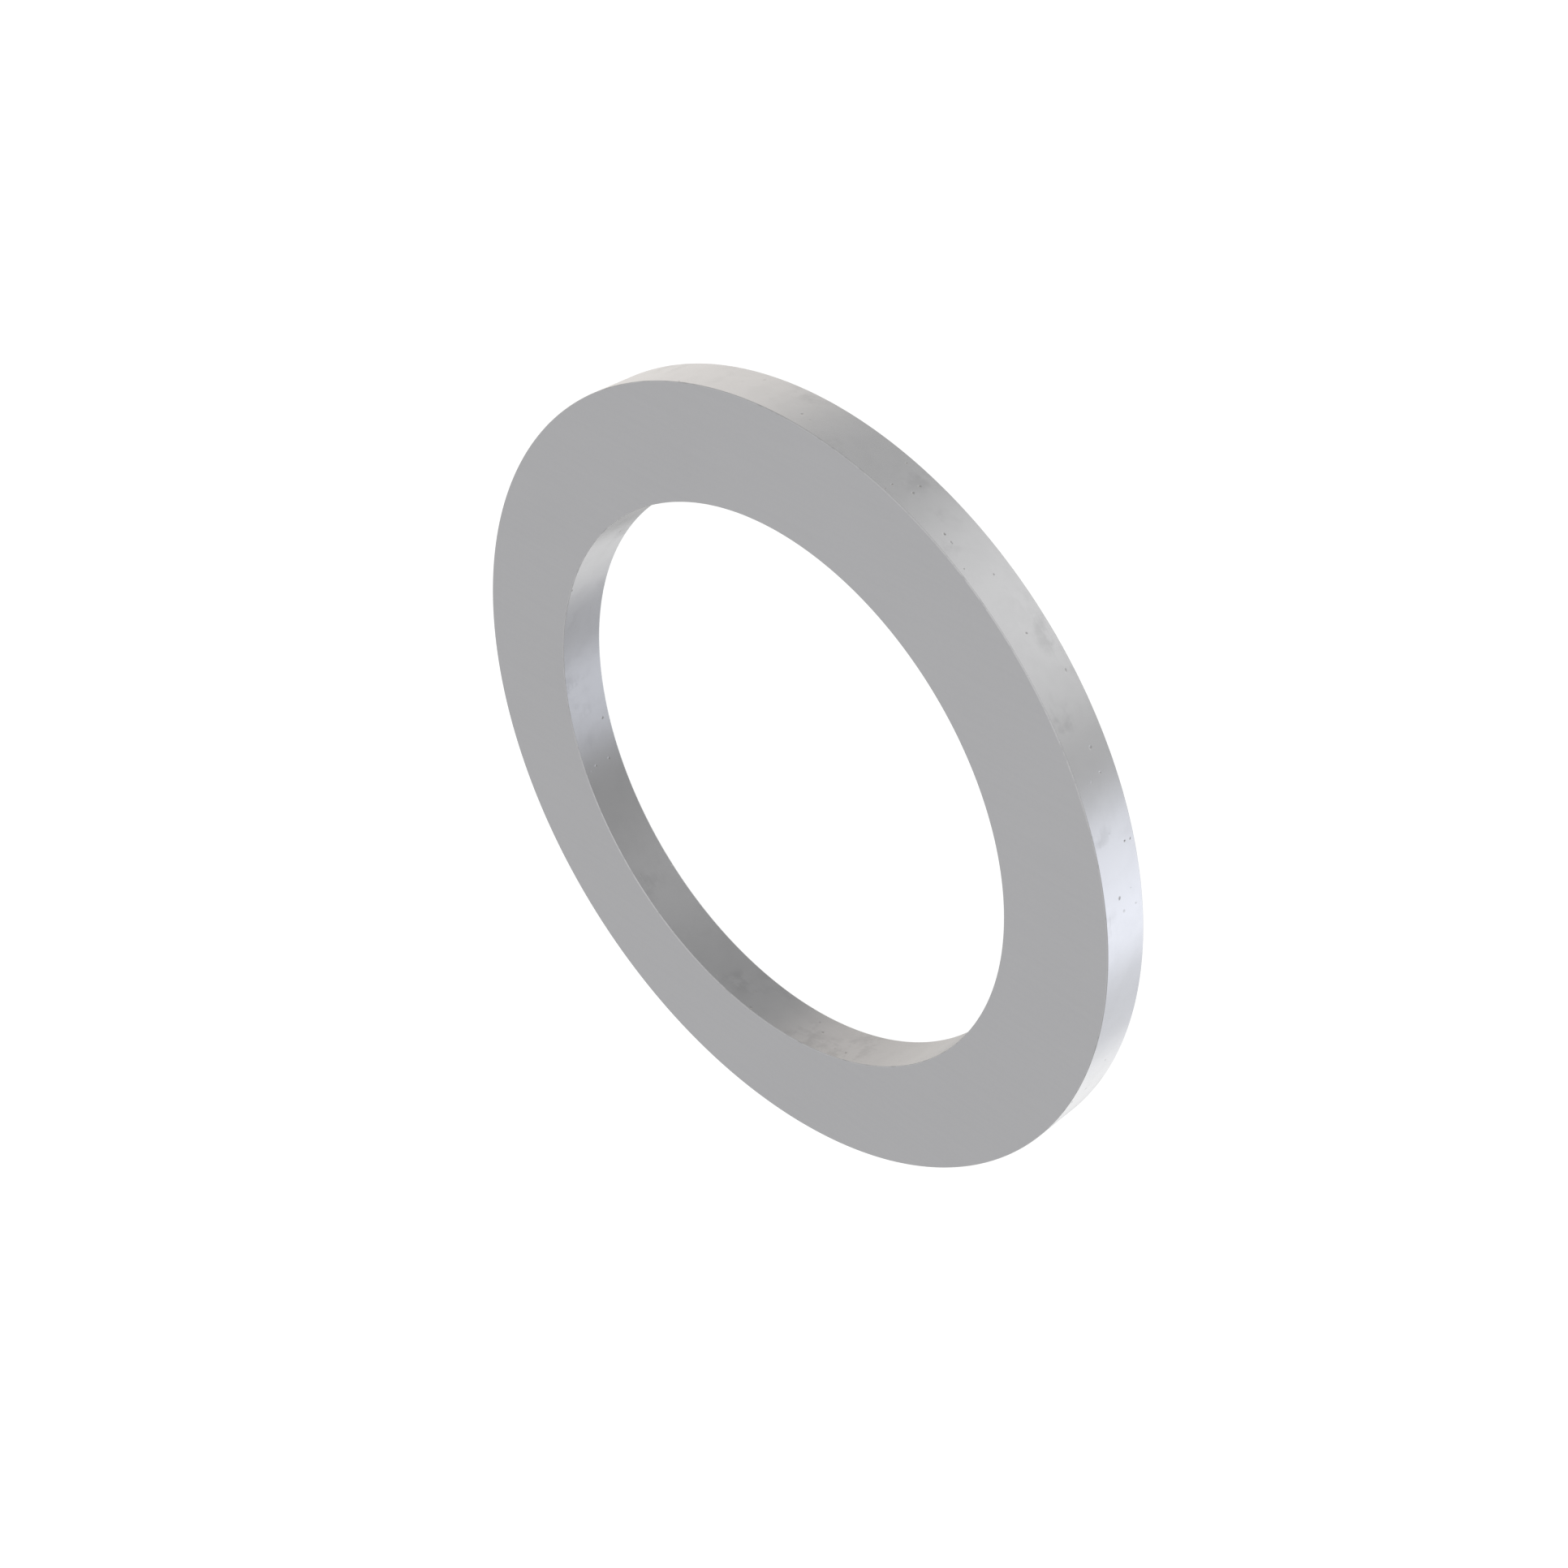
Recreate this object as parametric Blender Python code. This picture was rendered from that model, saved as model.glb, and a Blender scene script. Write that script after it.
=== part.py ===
"""Flat washer: one plain round ring of steel, the support washer for an 18 mm shaft.

Metres, +Z up. The ring lies flat. The origin is the centre of its lower bearing face,
and +Z runs along its axis. The real washer is punched in one piece from flat strip and
its edges are tumbled, so the whole of it is the one object named washer.
"""

import math

import bmesh
import bpy

MM = 0.001

# Driving dimensions
OUTER_DIAMETER = 25.0 * MM
SHAFT_DIAMETER = 18.0 * MM
SHAFT_CLEARANCE = 0.05 * MM  # on the diameter, between the shaft and the bore
THICKNESS = 1.5 * MM
EDGE_BREAK = 0.03 * MM  # what tumbling takes off each corner, along the face and along the wall
ROUND_SEGMENTS = 144  # flats that stand for one full turn, under 0.003 mm off the true circle

# Sizes that follow
OUTER_RADIUS = OUTER_DIAMETER / 2
BORE_RADIUS = (SHAFT_DIAMETER + SHAFT_CLEARANCE) / 2

# Finish: bright cold-rolled spring steel
STEEL_COLOUR = (0.56, 0.56, 0.57, 1.0)
STEEL_METALLIC = 1.0
STEEL_ROUGHNESS = 0.32
SHARP_ANGLE = math.radians(30)  # turns sharper than this are drawn as edges


def clear_scene():
    """Remove every object that the scene starts with."""
    for thing in list(bpy.data.objects):
        bpy.data.objects.remove(thing, do_unlink=True)


def steel():
    """Bright bare steel, neither polished nor plated."""
    material = bpy.data.materials.new("bright_steel")
    material.use_nodes = True
    shader = material.node_tree.nodes["Principled BSDF"]
    shader.inputs["Base Color"].default_value = STEEL_COLOUR
    shader.inputs["Metallic"].default_value = STEEL_METALLIC
    shader.inputs["Roughness"].default_value = STEEL_ROUGHNESS
    return material


def ring_section():
    """The ring's section beside its axis, as (radius, height): a rectangle with broken corners.

    The points run down the outside of the ring, in along its lower face, up the bore and
    back out along its upper face.
    """
    middle_radius = (OUTER_RADIUS + BORE_RADIUS) / 2
    half_width = (OUTER_RADIUS - BORE_RADIUS) / 2
    half_height = THICKNESS / 2
    points = []
    for out, up in ((1, 1), (1, -1), (-1, -1), (-1, 1)):
        on_face = (middle_radius + out * (half_width - EDGE_BREAK), half_height + up * half_height)
        on_wall = (middle_radius + out * half_width, half_height + up * (half_height - EDGE_BREAK))
        points += (on_face, on_wall) if out == up else (on_wall, on_face)
    return points


def ring_mesh():
    """The section spun once round Z, closed on itself and shaded smooth between its edges."""
    shape = bmesh.new()
    corners = [shape.verts.new((radius, 0.0, height)) for radius, height in ring_section()]
    for start, end in zip(corners, corners[1:] + corners[:1]):
        shape.edges.new((start, end))
    bmesh.ops.spin(
        shape,
        geom=shape.verts[:] + shape.edges[:],
        cent=(0.0, 0.0, 0.0),
        axis=(0.0, 0.0, 1.0),
        angle=math.tau,
        steps=ROUND_SEGMENTS,
        use_merge=True,
    )
    bmesh.ops.recalc_face_normals(shape, faces=shape.faces[:])
    mesh = bpy.data.meshes.new("washer")
    shape.to_mesh(mesh)
    shape.free()
    mesh.shade_smooth()
    mesh.set_sharp_from_angle(angle=SHARP_ANGLE)
    return mesh


def make_washer():
    """The washer, lying flat with its lower bearing face at Z = 0."""
    washer = bpy.data.objects.new("washer", ring_mesh())
    washer.data.materials.append(steel())
    bpy.context.scene.collection.objects.link(washer)


def main():
    """Clear the scene and build the washer in it."""
    clear_scene()
    make_washer()


main()
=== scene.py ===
"""Finished look of a plain flat steel washer, lying on a white studio table.

The washer is one ring of cold-rolled spring steel, blanked from strip and tumbled. It is
drawn here with its true round edges and its three surfaces: the rolled bearing faces, the
blanked walls (the rim outside and the bore inside) and the tumbled edges between them.
Lengths are in metres. The ring lies flat on Z = 0 and its axis is Z.
"""

import logging
import math
from dataclasses import dataclass, fields
from enum import Enum

import bpy
from mathutils import Matrix, Vector


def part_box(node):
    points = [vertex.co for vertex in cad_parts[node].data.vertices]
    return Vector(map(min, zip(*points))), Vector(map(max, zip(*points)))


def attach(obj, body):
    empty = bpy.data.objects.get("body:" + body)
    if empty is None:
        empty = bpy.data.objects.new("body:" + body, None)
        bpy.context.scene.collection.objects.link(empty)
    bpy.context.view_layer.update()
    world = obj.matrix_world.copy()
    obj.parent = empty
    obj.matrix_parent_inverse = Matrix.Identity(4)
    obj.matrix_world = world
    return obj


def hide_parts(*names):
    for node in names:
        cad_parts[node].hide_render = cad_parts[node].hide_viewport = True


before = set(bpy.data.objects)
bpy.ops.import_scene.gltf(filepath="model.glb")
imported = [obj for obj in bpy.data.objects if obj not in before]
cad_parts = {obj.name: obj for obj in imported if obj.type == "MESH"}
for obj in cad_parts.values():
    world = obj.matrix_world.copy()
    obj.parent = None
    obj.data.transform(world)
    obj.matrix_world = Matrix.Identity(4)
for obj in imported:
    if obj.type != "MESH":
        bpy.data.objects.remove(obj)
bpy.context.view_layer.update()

log = logging.getLogger("washer")

MM = 0.001
CAD_NODE = "washer"
BODY = "root"


def linear(hex_colour: str) -> tuple[float, float, float, float]:
    """Turn an sRGB hex colour into linear light.

    Args:
        hex_colour: Six hex digits after a hash, such as "#C0C0C0".

    Returns:
        Red, green and blue from 0 to 1 as linear light, and an alpha of 1.
    """
    channels = []
    for start in (1, 3, 5):
        coded = int(hex_colour[start : start + 2], 16) / 255
        channels.append(coded / 12.92 if coded <= 0.04045 else ((coded + 0.055) / 1.055) ** 2.4)
    return (*channels, 1.0)


def add_node(
    tree: bpy.types.NodeTree,
    kind: str,
    settings: dict[str, object] | None = None,
    inputs: dict[str | int, object] | None = None,
) -> bpy.types.Node:
    """Add one node to a tree, set it up, and link or fill its inputs.

    Args:
        tree: The node tree that gets the node.
        kind: Blender's name for the kind of node, such as "ShaderNodeMath".
        settings: Values for the node's own properties, by name.
        inputs: What each input gets, by its name or number: another node's output, or a constant.

    Returns:
        The new node.
    """
    node = tree.nodes.new(kind)
    for name, value in (settings or {}).items():
        setattr(node, name, value)
    for name, value in (inputs or {}).items():
        if isinstance(value, bpy.types.NodeSocket):
            tree.links.new(value, node.inputs[name])
        else:
            node.inputs[name].default_value = value
    return node


class Surface(Enum):
    """The washer's kinds of surface. The value is the material slot on the ring's mesh."""

    BEARING_FACE = 0
    RIM = 1
    BORE = 2
    BROKEN_EDGE = 3


@dataclass(frozen=True)
class RolledFace:
    """Cold-rolled spring steel, tumbled: the two bearing faces.

    To the eye it is one even satin grey. Close up it has the faint straight lay of the
    rolling mill and the fine frosting of the tumbling media.
    """

    name: str = "spring_steel_cold_rolled_face"
    colour: str = "#C4C4C6"
    frosted_colour: str = "#C0C0C2"
    roughness: float = 0.34
    roughness_spread: float = 0.05
    # The real lay and frosting are too fine to show, so both are drawn as coarse as they need.
    lay_spacing: float = 0.11 * MM
    lay_length: float = 3.0 * MM
    frosting_size: float = 0.09 * MM
    frosting_share: float = 0.45
    smudge_size: float = 3.5 * MM
    texture_share: float = 0.5
    lowest_gloss: float = 0.3
    highest_gloss: float = 0.7
    bump_depth: float = 0.0006 * MM

    def build(self) -> bpy.types.Material:
        """Make the material of the bearing faces.

        Returns:
            A new material.
        """
        material = bpy.data.materials.new(self.name)
        material.use_nodes = True
        tree = material.node_tree
        shader = tree.nodes["Principled BSDF"]
        place = add_node(tree, "ShaderNodeTexCoord").outputs["Object"]
        # Rolling leaves a straight lay along X, so the pattern is long in X and short in Y.
        along = add_node(
            tree,
            "ShaderNodeVectorMath",
            {"operation": "MULTIPLY"},
            {0: place, 1: (1 / self.lay_length, 1 / self.lay_spacing, 1 / self.lay_spacing)},
        )
        lay = add_node(
            tree,
            "ShaderNodeTexNoise",
            {},
            {"Vector": along.outputs[0], "Scale": 1.0, "Detail": 2.0, "Roughness": 0.55},
        )
        frosting = add_node(
            tree,
            "ShaderNodeTexNoise",
            {},
            {"Vector": place, "Scale": 1 / self.frosting_size, "Detail": 2.0, "Roughness": 0.6},
        )
        smudges = add_node(
            tree,
            "ShaderNodeTexNoise",
            {},
            {"Vector": place, "Scale": 1 / self.smudge_size, "Detail": 3.0, "Roughness": 0.5},
        )
        texture = add_node(
            tree,
            "ShaderNodeMix",
            {"data_type": "FLOAT"},
            {0: self.frosting_share, 2: lay.outputs["Fac"], 3: frosting.outputs["Fac"]},
        )
        colour = add_node(
            tree,
            "ShaderNodeMix",
            {"data_type": "RGBA"},
            {0: texture.outputs[0], 6: linear(self.colour), 7: linear(self.frosted_colour)},
        )
        gloss = add_node(
            tree,
            "ShaderNodeMix",
            {"data_type": "FLOAT"},
            {0: self.texture_share, 2: smudges.outputs["Fac"], 3: texture.outputs[0]},
        )
        roughness = add_node(
            tree,
            "ShaderNodeMapRange",
            {},
            {
                "Value": gloss.outputs[0],
                "From Min": self.lowest_gloss,
                "From Max": self.highest_gloss,
                "To Min": self.roughness - self.roughness_spread,
                "To Max": self.roughness + self.roughness_spread,
            },
        )
        bump = add_node(
            tree,
            "ShaderNodeBump",
            {},
            {"Strength": 1.0, "Distance": self.bump_depth, "Height": texture.outputs[0]},
        )
        shader.inputs["Metallic"].default_value = 1.0
        tree.links.new(colour.outputs[2], shader.inputs["Base Color"])
        tree.links.new(roughness.outputs[0], shader.inputs["Roughness"])
        tree.links.new(bump.outputs["Normal"], shader.inputs["Normal"])
        return material


@dataclass(frozen=True)
class BlankedWall:
    """Blanked and burnished spring steel: the rim outside, or the bore inside.

    The punch and die leave the walls smoother than the rolled faces, so they mirror the
    studio in soft light and dark stretches. Faint streaks run round the ring. Where the
    washer was handled most, the walls are cloudy with grey smudges and crowded with tiny
    pits that catch the light. Elsewhere the smudges are faint and the pits are few.
    """

    name: str
    colour: str
    smudged_colour: str
    roughness: float
    roughness_spread: float = 0.012
    streak_height: float = 0.07 * MM
    streak_length: float = 2.2 * MM
    streak_depth: float = 0.00008 * MM
    streak_share: float = 0.15
    smudge_size: float = 0.6 * MM
    smudge_start: float = 0.42
    smudge_full: float = 0.64
    faintest_smudge: float = 0.20
    pit_spacing: float = 0.42 * MM
    pit_radius: float = 0.07 * MM
    smallest_pit: float = 0.5
    pit_depth: float = 0.010 * MM
    pit_colour: str = "#9C9A98"
    handled_size: float = 1.6 * MM
    handled_start: float = 0.51
    handled_full: float = 0.68
    sparse_share: float = 0.35
    crowded_share: float = 1.0

    def build(self) -> bpy.types.Material:
        """Make the material of a wall.

        Returns:
            A new material.
        """
        material = bpy.data.materials.new(self.name)
        material.use_nodes = True
        tree = material.node_tree
        shader = tree.nodes["Principled BSDF"]
        place = add_node(tree, "ShaderNodeTexCoord").outputs["Object"]
        # Streaks run round the ring: the pattern is long in X and Y and short in Z.
        around = add_node(
            tree,
            "ShaderNodeVectorMath",
            {"operation": "MULTIPLY"},
            {0: place, 1: (1 / self.streak_length, 1 / self.streak_length, 1 / self.streak_height)},
        )
        streaks = add_node(
            tree,
            "ShaderNodeTexNoise",
            {},
            {"Vector": around.outputs[0], "Scale": 1.0, "Detail": 2.0, "Roughness": 0.5},
        )
        clouds = add_node(
            tree,
            "ShaderNodeTexNoise",
            {},
            {"Vector": place, "Scale": 1 / self.smudge_size, "Detail": 4.0, "Roughness": 0.6},
        )
        touched = add_node(
            tree,
            "ShaderNodeTexNoise",
            {},
            {"Vector": place, "Scale": 1 / self.handled_size, "Detail": 1.0, "Roughness": 0.5},
        )
        # This rises from 0 on a clean stretch to 1 on a well handled one.
        handled = add_node(
            tree,
            "ShaderNodeMapRange",
            {"interpolation_type": "SMOOTHSTEP"},
            {
                "Value": touched.outputs["Fac"],
                "From Min": self.handled_start,
                "From Max": self.handled_full,
            },
        )
        # The pits are torn out of the steel, so noise makes their outlines ragged.
        ragged = add_node(
            tree,
            "ShaderNodeTexNoise",
            {},
            {"Vector": place, "Scale": 1 / self.pit_radius, "Detail": 2.0, "Roughness": 0.6},
        )
        torn = add_node(
            tree,
            "ShaderNodeVectorMath",
            {"operation": "MULTIPLY_ADD"},
            {0: ragged.outputs["Color"], 1: (self.pit_radius,) * 3, 2: place},
        )
        pits = add_node(
            tree,
            "ShaderNodeTexVoronoi",
            {"feature": "F1", "distance": "EUCLIDEAN"},
            {"Vector": torn.outputs[0], "Scale": 1 / self.pit_spacing, "Randomness": 1.0},
        )
        picked = add_node(tree, "ShaderNodeSeparateColor", {}, {"Color": pits.outputs["Color"]})
        reach = self.pit_radius / self.pit_spacing
        pit_edge = add_node(
            tree,
            "ShaderNodeMapRange",
            {},
            {"Value": picked.outputs[1], "To Min": reach * self.smallest_pit, "To Max": reach},
        )
        # Inside a pit this falls from 1 at its rim to 0 at its middle.
        bowl = add_node(
            tree,
            "ShaderNodeMapRange",
            {"interpolation_type": "SMOOTHSTEP"},
            {"Value": pits.outputs["Distance"], "From Max": pit_edge.outputs[0]},
        )
        pitted_share = add_node(
            tree,
            "ShaderNodeMapRange",
            {},
            {
                "Value": handled.outputs[0],
                "To Min": self.sparse_share,
                "To Max": self.crowded_share,
            },
        )
        whole = add_node(
            tree,
            "ShaderNodeMath",
            {"operation": "GREATER_THAN"},
            {0: picked.outputs[0], 1: pitted_share.outputs[0]},
        )
        surface = add_node(
            tree,
            "ShaderNodeMath",
            {"operation": "MAXIMUM"},
            {0: bowl.outputs[0], 1: whole.outputs[0]},
        )
        smudge_limit = add_node(
            tree,
            "ShaderNodeMapRange",
            {},
            {"Value": handled.outputs[0], "To Min": self.faintest_smudge, "To Max": 1.0},
        )
        blotches = add_node(
            tree,
            "ShaderNodeMix",
            {"data_type": "FLOAT"},
            {0: self.streak_share, 2: clouds.outputs["Fac"], 3: streaks.outputs["Fac"]},
        )
        smudged = add_node(
            tree,
            "ShaderNodeMapRange",
            {"interpolation_type": "SMOOTHSTEP"},
            {
                "Value": blotches.outputs[0],
                "From Min": self.smudge_start,
                "From Max": self.smudge_full,
                "To Max": smudge_limit.outputs[0],
            },
        )
        clean = add_node(
            tree,
            "ShaderNodeMix",
            {"data_type": "RGBA"},
            {0: smudged.outputs[0], 6: linear(self.colour), 7: linear(self.smudged_colour)},
        )
        colour = add_node(
            tree,
            "ShaderNodeMix",
            {"data_type": "RGBA"},
            {0: surface.outputs[0], 6: linear(self.pit_colour), 7: clean.outputs[2]},
        )
        roughness = add_node(
            tree,
            "ShaderNodeMapRange",
            {},
            {
                "Value": smudged.outputs[0],
                "To Min": self.roughness - self.roughness_spread,
                "To Max": self.roughness + self.roughness_spread,
            },
        )
        streak_bump = add_node(
            tree,
            "ShaderNodeBump",
            {},
            {"Strength": 1.0, "Distance": self.streak_depth, "Height": streaks.outputs["Fac"]},
        )
        pit_bump = add_node(
            tree,
            "ShaderNodeBump",
            {},
            {
                "Strength": 1.0,
                "Distance": self.pit_depth,
                "Height": surface.outputs[0],
                "Normal": streak_bump.outputs["Normal"],
            },
        )
        shader.inputs["Metallic"].default_value = 1.0
        tree.links.new(colour.outputs[2], shader.inputs["Base Color"])
        tree.links.new(roughness.outputs[0], shader.inputs["Roughness"])
        tree.links.new(pit_bump.outputs["Normal"], shader.inputs["Normal"])
        return material


@dataclass(frozen=True)
class TumbledEdge:
    """Spring steel worn bright by tumbling: the four broken edges.

    Each is a hairline, brighter and smoother than the faces, with small dull spots where the
    media didn't reach.
    """

    name: str = "spring_steel_tumbled_edge"
    colour: str = "#CBCBCC"
    missed_colour: str = "#BEBEBF"
    roughness: float = 0.30
    missed_roughness: float = 0.38
    spot_size: float = 0.35 * MM
    spot_start: float = 0.5
    spot_full: float = 0.7

    def build(self) -> bpy.types.Material:
        """Make the material of the broken edges.

        Returns:
            A new material.
        """
        material = bpy.data.materials.new(self.name)
        material.use_nodes = True
        tree = material.node_tree
        shader = tree.nodes["Principled BSDF"]
        place = add_node(tree, "ShaderNodeTexCoord").outputs["Object"]
        spots = add_node(
            tree,
            "ShaderNodeTexNoise",
            {},
            {"Vector": place, "Scale": 1 / self.spot_size, "Detail": 3.0, "Roughness": 0.6},
        )
        missed = add_node(
            tree,
            "ShaderNodeMapRange",
            {"interpolation_type": "SMOOTHSTEP"},
            {
                "Value": spots.outputs["Fac"],
                "From Min": self.spot_start,
                "From Max": self.spot_full,
            },
        )
        colour = add_node(
            tree,
            "ShaderNodeMix",
            {"data_type": "RGBA"},
            {0: missed.outputs[0], 6: linear(self.colour), 7: linear(self.missed_colour)},
        )
        roughness = add_node(
            tree,
            "ShaderNodeMapRange",
            {},
            {
                "Value": missed.outputs[0],
                "To Min": self.roughness,
                "To Max": self.missed_roughness,
            },
        )
        shader.inputs["Metallic"].default_value = 1.0
        tree.links.new(colour.outputs[2], shader.inputs["Base Color"])
        tree.links.new(roughness.outputs[0], shader.inputs["Roughness"])
        return material


@dataclass
class WasherRing:
    """The ring itself, turned from its section with true round edges.

    Attributes:
        outer_radius: Radius of the rim.
        bore_radius: Radius of the bore.
        thickness: Height of the upper bearing face over the lower one.
        edge_radius: Radius that tumbling gives each of the four edges.
        edge_steps: Faces across one rounded edge.
        round_steps: Faces round one full turn.
    """

    outer_radius: float
    bore_radius: float
    thickness: float
    edge_radius: float = 0.03 * MM
    edge_steps: int = 4
    round_steps: int = 720

    @classmethod
    def from_frame(cls) -> "WasherRing":
        """Read the ring's sizes from the CAD model.

        Returns:
            A ring of the CAD washer's outside, bore and thickness.
        """
        low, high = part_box(CAD_NODE)
        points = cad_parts[CAD_NODE].data.vertices
        bore_radius = min(math.hypot(point.co.x, point.co.y) for point in points)
        return cls(high[0], bore_radius, high[2] - low[2])

    def section(self) -> list[tuple[Vector, Vector, Surface]]:
        """Work out the ring's section beside its axis, going down the rim and up the bore.

        Returns:
            For each corner of the section its place and its outward normal, both as
            (radius, 0, height), and the surface that runs from it to the next one.
        """
        low_z, high_z = self.edge_radius, self.thickness - self.edge_radius
        inner, outer = self.bore_radius + self.edge_radius, self.outer_radius - self.edge_radius
        corners = (
            (outer, high_z, 90, Surface.RIM),
            (outer, low_z, 0, Surface.BEARING_FACE),
            (inner, low_z, -90, Surface.BORE),
            (inner, high_z, -180, Surface.BEARING_FACE),
        )
        points = []
        for radius, height, start, following in corners:
            for step in range(self.edge_steps + 1):
                angle = math.radians(start - 90 * step / self.edge_steps)
                normal = Vector((math.cos(angle), 0.0, math.sin(angle)))
                place = Vector((radius, 0.0, height)) + normal * self.edge_radius
                surface = following if step == self.edge_steps else Surface.BROKEN_EDGE
                points.append((place, normal, surface))
        return points

    def mesh(self) -> bpy.types.Mesh:
        """Turn the section once round Z.

        Returns:
            A closed mesh with exact normals and a material slot number on every face.
        """
        section = self.section()
        count = len(section)
        places, normals, faces, slots = [], [], [], []
        for turn in range(self.round_steps):
            spin = Matrix.Rotation(math.tau * turn / self.round_steps, 3, "Z")
            here, ahead = turn * count, (turn + 1) % self.round_steps * count
            for index, (place, normal, surface) in enumerate(section):
                after = (index + 1) % count
                places.append(spin @ place)
                normals.append(spin @ normal)
                faces.append((here + index, here + after, ahead + after, ahead + index))
                slots.append(surface.value)
        mesh = bpy.data.meshes.new("washer_ring")
        mesh.from_pydata(places, [], faces)
        mesh.polygons.foreach_set("material_index", slots)
        mesh.shade_smooth()
        mesh.normals_split_custom_set_from_vertices(normals)
        mesh.validate()
        return mesh

    def build(self, finishes: dict[Surface, bpy.types.Material]) -> bpy.types.Object:
        """Make the finished ring, which stands for the plain CAD washer.

        Args:
            finishes: The material for each kind of surface.

        Returns:
            The ring's object.
        """
        mesh = self.mesh()
        for surface in Surface:
            mesh.materials.append(finishes[surface])
        ring = bpy.data.objects.new("washer_ring", mesh)
        bpy.context.scene.collection.objects.link(ring)
        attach(ring, BODY)
        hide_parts(CAD_NODE)
        return ring


class Tint(Enum):
    """The colours of light that the studio's softboxes give. The value is an sRGB hex colour."""

    NEUTRAL = "#FFFFFF"
    COOL = "#ECF1FF"
    WARM = "#FFF5EA"


@dataclass(frozen=True)
class Softbox:
    """One soft round patch of light in the studio.

    Attributes:
        turn: Its direction round Z from +X, in degrees.
        height: Its direction above the table's plane, in degrees. Below is negative.
        reach: How far it fades out from its middle, in degrees.
        power: What it adds to the room's light at its middle.
        tint: The colour of its light.
    """

    turn: float
    height: float
    reach: float
    power: float
    tint: Tint = Tint.NEUTRAL

    def direction(self) -> Vector:
        """Return the unit vector that points at the softbox."""
        turn, height = math.radians(self.turn), math.radians(self.height)
        flat = math.cos(height)
        return Vector((flat * math.cos(turn), flat * math.sin(turn), math.sin(height)))


@dataclass(frozen=True)
class Studio:
    """A white table in an evenly lit room with large softboxes all round.

    Some softboxes stand below table height, because the walls of the ring, seen from above,
    mirror what is under the horizon: the bore 30 to 35 degrees under it, the rim 35 to 42.
    Each softbox is named for where it stands round the table, seen from the camera's side.
    """

    room_light: float = 0.50
    backdrop: float = 1.0
    table_half_side: float = 1.0
    table_glow: float = 0.90
    table_paint: str = "#8C8C8C"
    ceiling: Softbox = Softbox(turn=0, height=90, reach=110, power=0.20)
    floor_bounce: Softbox = Softbox(turn=0, height=-90, reach=110, power=0.10)
    behind: Softbox = Softbox(turn=-135, height=35, reach=60, power=0.08)
    front: Softbox = Softbox(turn=45, height=30, reach=60, power=0.35)
    back_left: Softbox = Softbox(turn=-95, height=-25, reach=25, power=0.65)
    low_left: Softbox = Softbox(turn=-60, height=-50, reach=30, power=0.40, tint=Tint.COOL)
    front_left: Softbox = Softbox(turn=-25, height=-40, reach=25, power=0.75, tint=Tint.COOL)
    low_front: Softbox = Softbox(turn=55, height=-60, reach=35, power=0.50)
    back_right: Softbox = Softbox(turn=180, height=-35, reach=50, power=0.40, tint=Tint.WARM)

    def softboxes(self) -> list[Softbox]:
        """Return the studio's softboxes."""
        values = (getattr(self, field.name) for field in fields(self))
        return [value for value in values if isinstance(value, Softbox)]

    def light_room(self) -> None:
        """Fill the world with the room's even light and the softboxes."""
        world = bpy.data.worlds.new("studio_room")
        bpy.context.scene.world = world
        world.use_nodes = True
        tree = world.node_tree
        tree.nodes.clear()
        seen = add_node(tree, "ShaderNodeTexCoord").outputs["Generated"]
        level = self.room_light
        light = add_node(tree, "ShaderNodeCombineXYZ", {}, {0: level, 1: level, 2: level})
        for softbox in self.softboxes():
            aim = add_node(
                tree,
                "ShaderNodeVectorMath",
                {"operation": "DOT_PRODUCT"},
                {0: seen, 1: softbox.direction()},
            )
            glow = add_node(
                tree,
                "ShaderNodeMapRange",
                {"interpolation_type": "SMOOTHERSTEP"},
                {
                    "Value": aim.outputs["Value"],
                    "From Min": math.cos(math.radians(softbox.reach)),
                    "From Max": 1.0,
                    "To Max": softbox.power,
                },
            )
            tint = add_node(
                tree,
                "ShaderNodeVectorMath",
                {"operation": "SCALE"},
                {0: linear(softbox.tint.value)[:3], "Scale": glow.outputs[0]},
            )
            light = add_node(
                tree,
                "ShaderNodeVectorMath",
                {"operation": "ADD"},
                {0: light.outputs[0], 1: tint.outputs[0]},
            )
        room = add_node(tree, "ShaderNodeBackground", {}, {"Color": light.outputs[0]})
        white = (self.backdrop, self.backdrop, self.backdrop, 1.0)
        backdrop = add_node(tree, "ShaderNodeBackground", {}, {"Color": white})
        path = add_node(tree, "ShaderNodeLightPath")
        mixed = add_node(
            tree,
            "ShaderNodeMixShader",
            {},
            {0: path.outputs["Is Camera Ray"], 1: room.outputs[0], 2: backdrop.outputs[0]},
        )
        add_node(tree, "ShaderNodeOutputWorld", {}, {"Surface": mixed.outputs[0]})

    def lay_table(self) -> bpy.types.Object:
        """Lay the plain white table under the washer.

        Returns:
            The table's object, which isn't part of the washer.
        """
        side = self.table_half_side
        mesh = bpy.data.meshes.new("table_floor")
        corners = [(-side, -side, 0.0), (side, -side, 0.0), (side, side, 0.0), (-side, side, 0.0)]
        mesh.from_pydata(corners, [], [(0, 1, 2, 3)])
        table = bpy.data.objects.new("table_floor", mesh)
        bpy.context.scene.collection.objects.link(table)
        material = bpy.data.materials.new("white_lit_acrylic")
        material.use_nodes = True
        shader = material.node_tree.nodes["Principled BSDF"]
        shader.inputs["Base Color"].default_value = linear(self.table_paint)
        shader.inputs["Roughness"].default_value = 1.0
        shader.inputs["Specular IOR Level"].default_value = 0.0
        shader.inputs["Emission Color"].default_value = (1.0, 1.0, 1.0, 1.0)
        shader.inputs["Emission Strength"].default_value = self.table_glow
        mesh.materials.append(material)
        # The metal mirrors the studio round the table. The table itself would wash it out.
        table.visible_glossy = False
        return table


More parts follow.
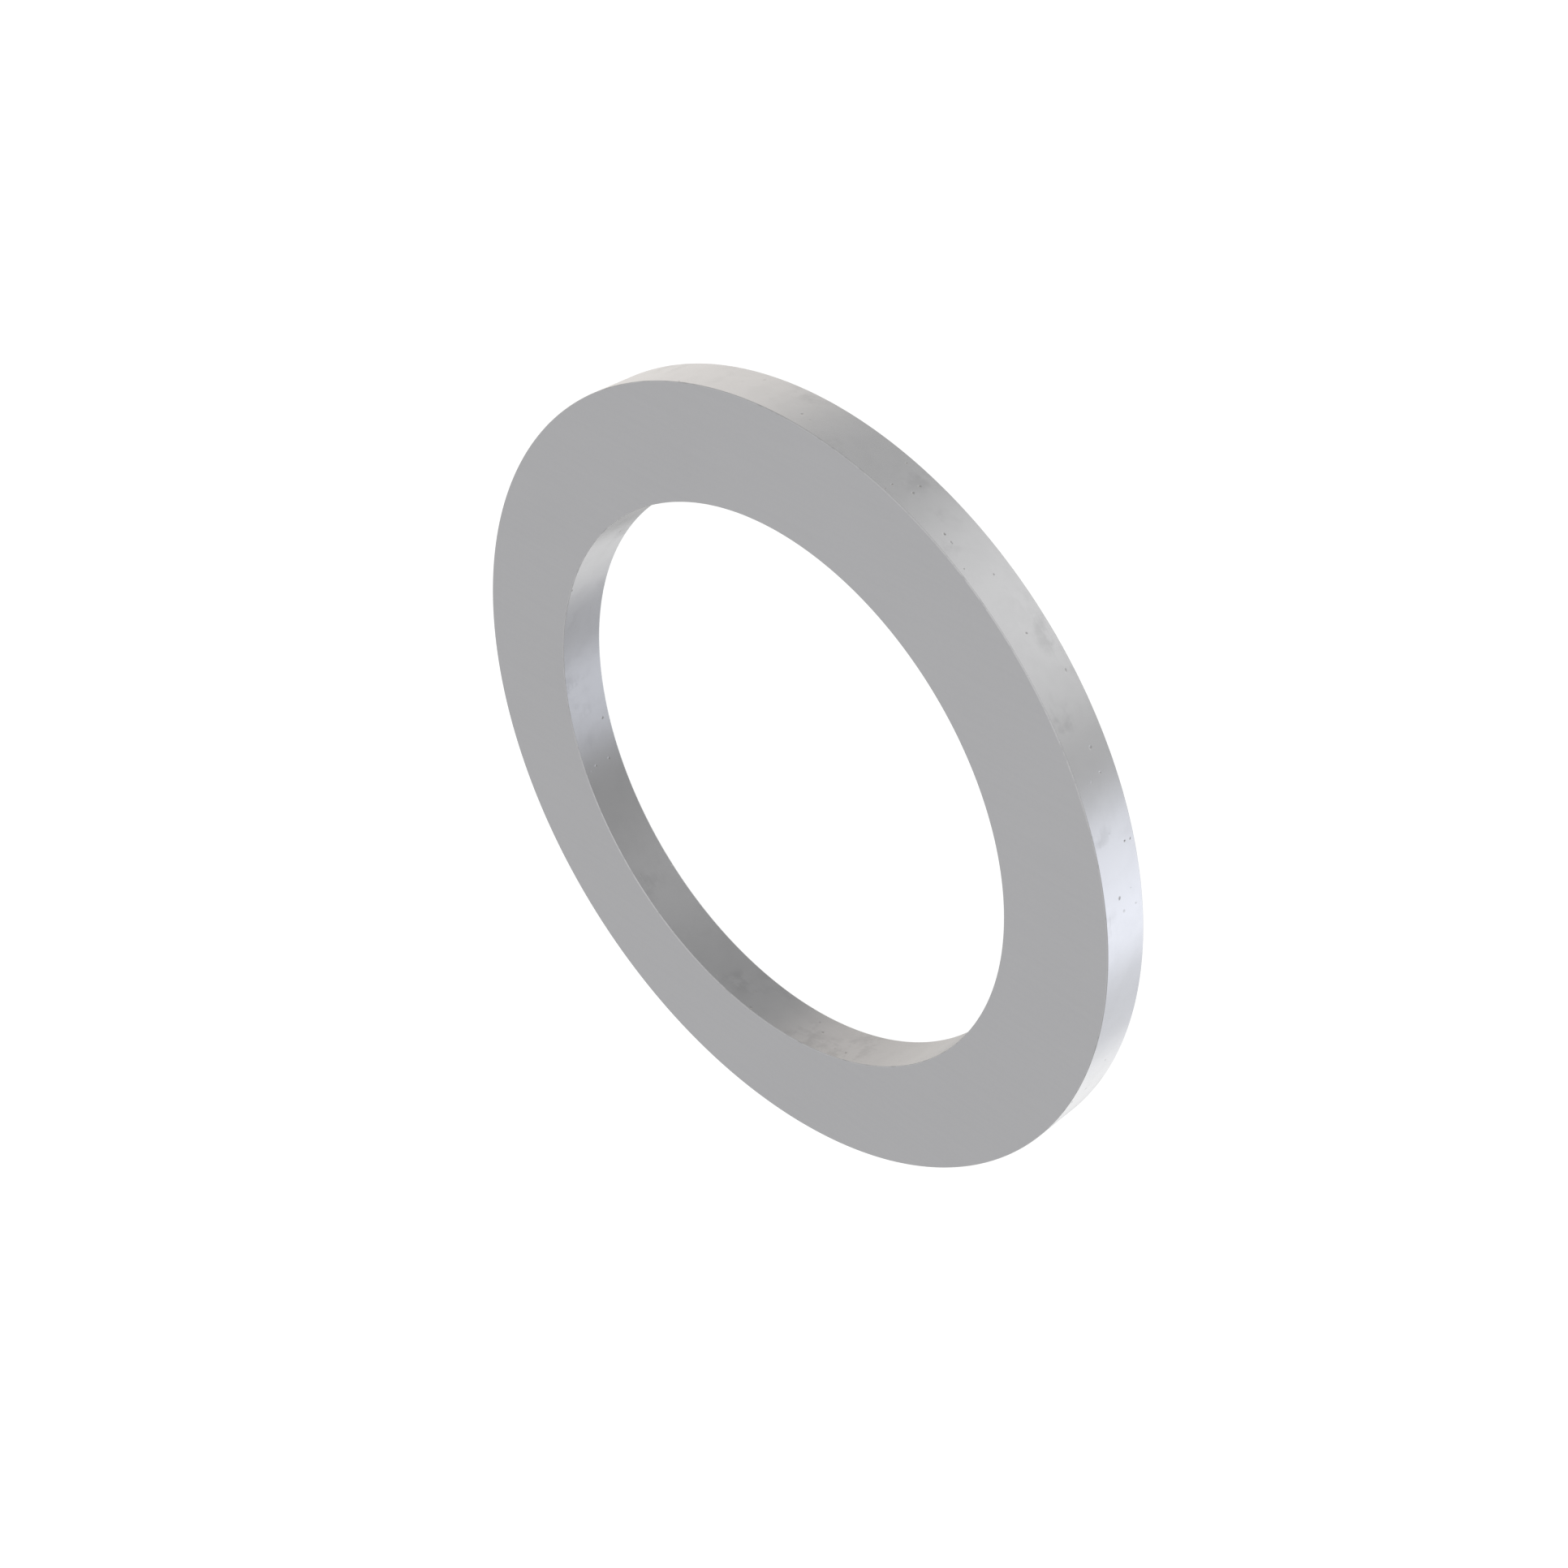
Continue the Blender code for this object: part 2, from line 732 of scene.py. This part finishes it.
@dataclass
class ProductCamera:
    """The camera, aimed at the middle of the ring from beside its axis.

    Attributes:
        turn: How far it stands from the ring's axis, round +Y, in degrees.
        rise: How far it stands above the ring's XZ plane, towards +Y, in degrees.
        distance: Distance from the ring's middle, in outer radii of the ring.
        focal_length: Focal length in millimetres.
        sensor_width: Width of the sensor in millimetres.
    """

    turn: float = 44.94
    rise: float = 36.84
    distance: float = 5.110
    focal_length: float = 50.0
    sensor_width: float = 36.0

    def place(self, ring: WasherRing) -> bpy.types.Object:
        """Set the camera up with +Y at the top of its view.

        Args:
            ring: The ring that it looks at.

        Returns:
            The camera's object.
        """
        turn, rise = math.radians(self.turn), math.radians(self.rise)
        back = Vector(
            (math.cos(rise) * math.sin(turn), math.sin(rise), math.cos(rise) * math.cos(turn))
        )
        right = Vector((0.0, 1.0, 0.0)).cross(back).normalized()
        top = back.cross(right)
        aim = Vector((0.0, 0.0, ring.thickness / 2))
        data = bpy.data.cameras.new("product_camera")
        data.lens = self.focal_length
        data.sensor_width = self.sensor_width
        data.clip_start = 1.0 * MM
        camera = bpy.data.objects.new("product_camera", data)
        camera.matrix_world = Matrix.Translation(aim + back * self.distance * ring.outer_radius) @ (
            Matrix((right, top, back)).transposed().to_4x4()
        )
        bpy.context.scene.collection.objects.link(camera)
        bpy.context.scene.camera = camera
        return camera


def main() -> None:
    """Build the washer, its studio and its camera."""
    logging.basicConfig(level=logging.INFO, format="%(name)s: %(message)s")
    bpy.context.scene.view_settings.view_transform = "Standard"
    finishes = {
        Surface.BEARING_FACE: RolledFace().build(),
        Surface.RIM: BlankedWall("spring_steel_blanked_rim", "#D1D1D2", "#C5C5C6", 0.25).build(),
        # The bore's colour and smudged colour are darker than the rim's: painted shade for the
        # shade that falls inside the bore.
        Surface.BORE: BlankedWall("spring_steel_blanked_bore_painted_shade", "#B5B5B6", "#AAAAAB", 0.26).build(),
        Surface.BROKEN_EDGE: TumbledEdge().build(),
    }
    ring = WasherRing.from_frame()
    piece = ring.build(finishes)
    log.info("%s: %d faces", piece.name, len(piece.data.polygons))
    studio = Studio()
    studio.light_room()
    log.info("%s: laid and lit by %d softboxes", studio.lay_table().name, len(studio.softboxes()))
    log.info("%s: set up", ProductCamera().place(ring).name)


if __name__ == "__main__":
    main()
